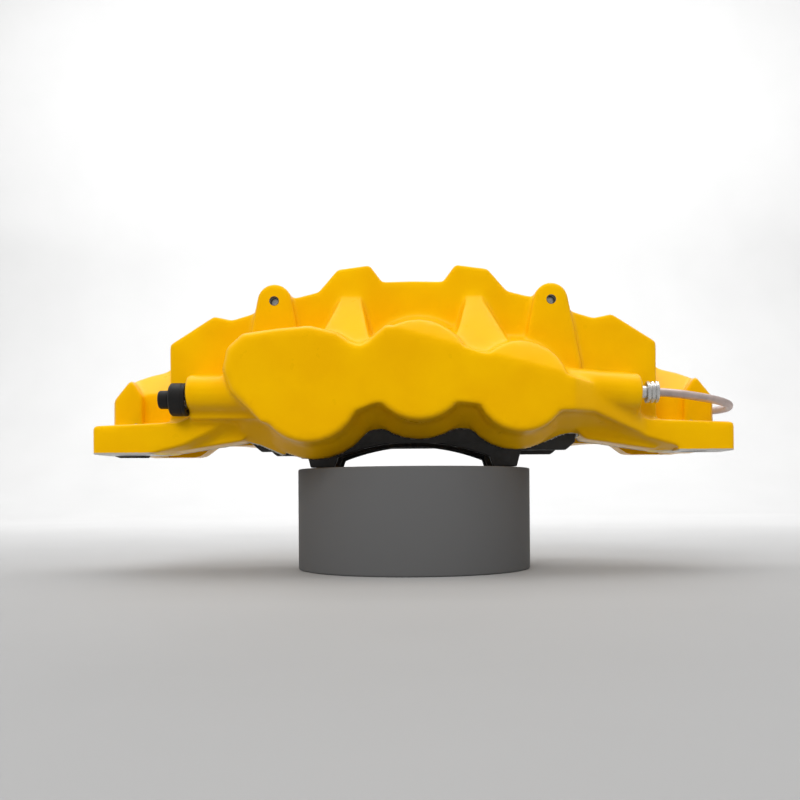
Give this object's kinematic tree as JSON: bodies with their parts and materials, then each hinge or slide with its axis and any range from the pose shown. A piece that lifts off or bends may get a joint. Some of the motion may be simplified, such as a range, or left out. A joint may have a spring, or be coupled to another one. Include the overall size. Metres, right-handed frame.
{
  "type": "brake caliper",
  "caption": "Fixed opposed-piston disc-brake caliper with lobed yellow body, mounting ears, pads on pins, bleeders and a crossover pipe.",
  "frame": {"origin": "middle of the bounding box at the height of the pads' feet, on which the caliper stands", "axes": "+X along the caliper towards the crossover pipe, +Y along the disc's axis away from the mounting ears, +Z radially outward"},
  "size_m": [0.3819, 0.15, 0.118],
  "materials": {
    "body_paint": "gloss yellow paint over cast aluminium",
    "rubber": "matte black",
    "pad_plate": "black powder coat",
    "friction": "dark granular friction material",
    "stainless": "bright stainless",
    "zinc_steel": "zinc plated",
    "tube_steel": "bare drawn tube",
    "piston": "hard anodised",
    "plug": "moulded plastic"
  },
  "bodies": {
    "caliper": {"caliper_body": "body_paint", "crossover_pipe": "tube_steel", "pad_spring": "stainless", "bolt_insert_left": "stainless", "bolt_insert_right": "stainless", "inlet_plug": "plug", "piston_seal_inboard_1": "rubber", "piston_seal_inboard_2": "rubber", "piston_seal_inboard_3": "rubber", "dust_boot_inboard_1": "rubber", "dust_boot_inboard_2": "rubber", "dust_boot_inboard_3": "rubber", "abutment_plate_inboard_left": "stainless", "abutment_plate_inboard_right": "stainless", "pipe_nut_inboard": "zinc_steel", "piston_seal_outboard_1": "rubber", "piston_seal_outboard_2": "rubber", "piston_seal_outboard_3": "rubber", "dust_boot_outboard_1": "rubber", "dust_boot_outboard_2": "rubber", "dust_boot_outboard_3": "rubber", "abutment_plate_outboard_left": "stainless", "abutment_plate_outboard_right": "stainless", "pipe_nut_outboard": "zinc_steel"},
    "pad_inboard": {"pad_plate_inboard": "pad_plate", "pad_lining_inboard": "friction", "pad_shim_inboard": "pad_plate"},
    "piston_inboard_1": {"piston_inboard_1": "piston"},
    "piston_inboard_2": {"piston_inboard_2": "piston"},
    "piston_inboard_3": {"piston_inboard_3": "piston"},
    "bleed_screw_inboard": {"bleed_screw_inboard": "zinc_steel"},
    "bleed_cap_inboard": {"bleed_cap_inboard": "rubber"},
    "pad_outboard": {"pad_plate_outboard": "pad_plate", "pad_lining_outboard": "friction", "pad_shim_outboard": "pad_plate"},
    "piston_outboard_1": {"piston_outboard_1": "piston"},
    "piston_outboard_2": {"piston_outboard_2": "piston"},
    "piston_outboard_3": {"piston_outboard_3": "piston"},
    "bleed_screw_outboard": {"bleed_screw_outboard": "zinc_steel"},
    "bleed_cap_outboard": {"bleed_cap_outboard": "rubber"},
    "pad_pin_left": {"pad_pin_left": "stainless"},
    "pad_pin_right": {"pad_pin_right": "stainless"}
  },
  "joints": [
    {"name": "pad_inboard_slide", "type": "slide", "parent": "caliper", "child": "pad_inboard", "axis": [0, 1, 0], "range_m": [0, 0.0095]},
    {"name": "piston_inboard_1_slide", "type": "slide", "parent": "caliper", "child": "piston_inboard_1", "axis": [0, 1, 0], "range_m": [0, 0.0095]},
    {"name": "piston_inboard_2_slide", "type": "slide", "parent": "caliper", "child": "piston_inboard_2", "axis": [0, 1, 0], "range_m": [0, 0.0095]},
    {"name": "piston_inboard_3_slide", "type": "slide", "parent": "caliper", "child": "piston_inboard_3", "axis": [0, 1, 0], "range_m": [0, 0.0095]},
    {"name": "bleed_screw_inboard_turn", "type": "hinge", "parent": "caliper", "child": "bleed_screw_inboard", "pos_m": [-0.13395, -0.057, 0.0383], "axis": [-1, 0, 0], "range_deg": [0, 360]},
    {"name": "bleed_cap_inboard_pull", "type": "slide", "parent": "bleed_screw_inboard", "child": "bleed_cap_inboard", "axis": [-1, 0, 0], "range_m": [0, 0.018]},
    {"name": "pad_outboard_slide", "type": "slide", "parent": "caliper", "child": "pad_outboard", "axis": [0, -1, 0], "range_m": [0, 0.0095]},
    {"name": "piston_outboard_1_slide", "type": "slide", "parent": "caliper", "child": "piston_outboard_1", "axis": [0, -1, 0], "range_m": [0, 0.0095]},
    {"name": "piston_outboard_2_slide", "type": "slide", "parent": "caliper", "child": "piston_outboard_2", "axis": [0, -1, 0], "range_m": [0, 0.0095]},
    {"name": "piston_outboard_3_slide", "type": "slide", "parent": "caliper", "child": "piston_outboard_3", "axis": [0, -1, 0], "range_m": [0, 0.0095]},
    {"name": "bleed_screw_outboard_turn", "type": "hinge", "parent": "caliper", "child": "bleed_screw_outboard", "pos_m": [-0.13395, 0.057, 0.0383], "axis": [-1, 0, 0], "range_deg": [0, 360]},
    {"name": "bleed_cap_outboard_pull", "type": "slide", "parent": "bleed_screw_outboard", "child": "bleed_cap_outboard", "axis": [-1, 0, 0], "range_m": [0, 0.018]},
    {"name": "pad_pin_left_slide", "type": "slide", "parent": "caliper", "child": "pad_pin_left", "axis": [0, 1, 0], "range_m": [0, 0.1]},
    {"name": "pad_pin_right_slide", "type": "slide", "parent": "caliper", "child": "pad_pin_right", "axis": [0, 1, 0], "range_m": [0, 0.1]}
  ],
  "couplings": [
    {"joint": "piston_inboard_1_slide", "follows": "pad_inboard_slide", "ratio": 1},
    {"joint": "piston_inboard_2_slide", "follows": "pad_inboard_slide", "ratio": 1},
    {"joint": "piston_inboard_3_slide", "follows": "pad_inboard_slide", "ratio": 1},
    {"joint": "piston_outboard_1_slide", "follows": "pad_outboard_slide", "ratio": 1},
    {"joint": "piston_outboard_2_slide", "follows": "pad_outboard_slide", "ratio": 1},
    {"joint": "piston_outboard_3_slide", "follows": "pad_outboard_slide", "ratio": 1}
  ]
}
